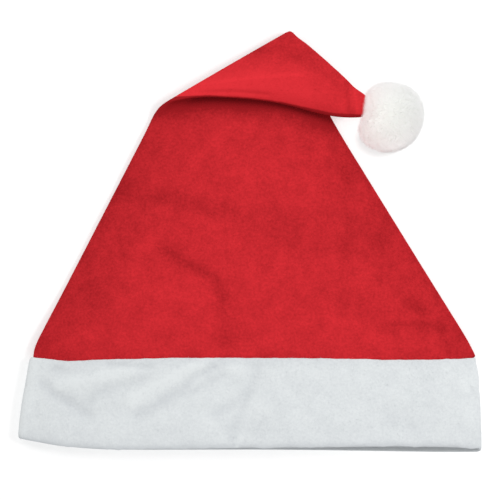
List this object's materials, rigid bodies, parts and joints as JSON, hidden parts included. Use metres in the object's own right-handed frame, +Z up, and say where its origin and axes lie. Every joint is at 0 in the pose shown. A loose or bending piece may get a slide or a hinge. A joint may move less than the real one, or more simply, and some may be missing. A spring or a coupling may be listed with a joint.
{
  "type": "santa hat",
  "caption": "Soft red felt hat lying flat, a hollow cone with its tip folded over to one side, a white felt band round the mouth and a white pompom on the tip.",
  "frame": {"origin": "on the surface the hat lies on, under the middle of its bounding box", "axes": "+X across the hat towards the pompom's side, +Y from the mouth towards the fold, +Z up from the surface"},
  "size_m": [0.2878, 0.2608, 0.0416],
  "materials": {
    "red_felt": "matt needle-punched felt",
    "white_felt": "matt needle-punched felt, doubled",
    "white_fibre": "soft fluffy fibre"
  },
  "bodies": {
    "root": {"crown": "red_felt", "band": "white_felt", "pompom": "white_fibre"}
  },
  "joints": []
}
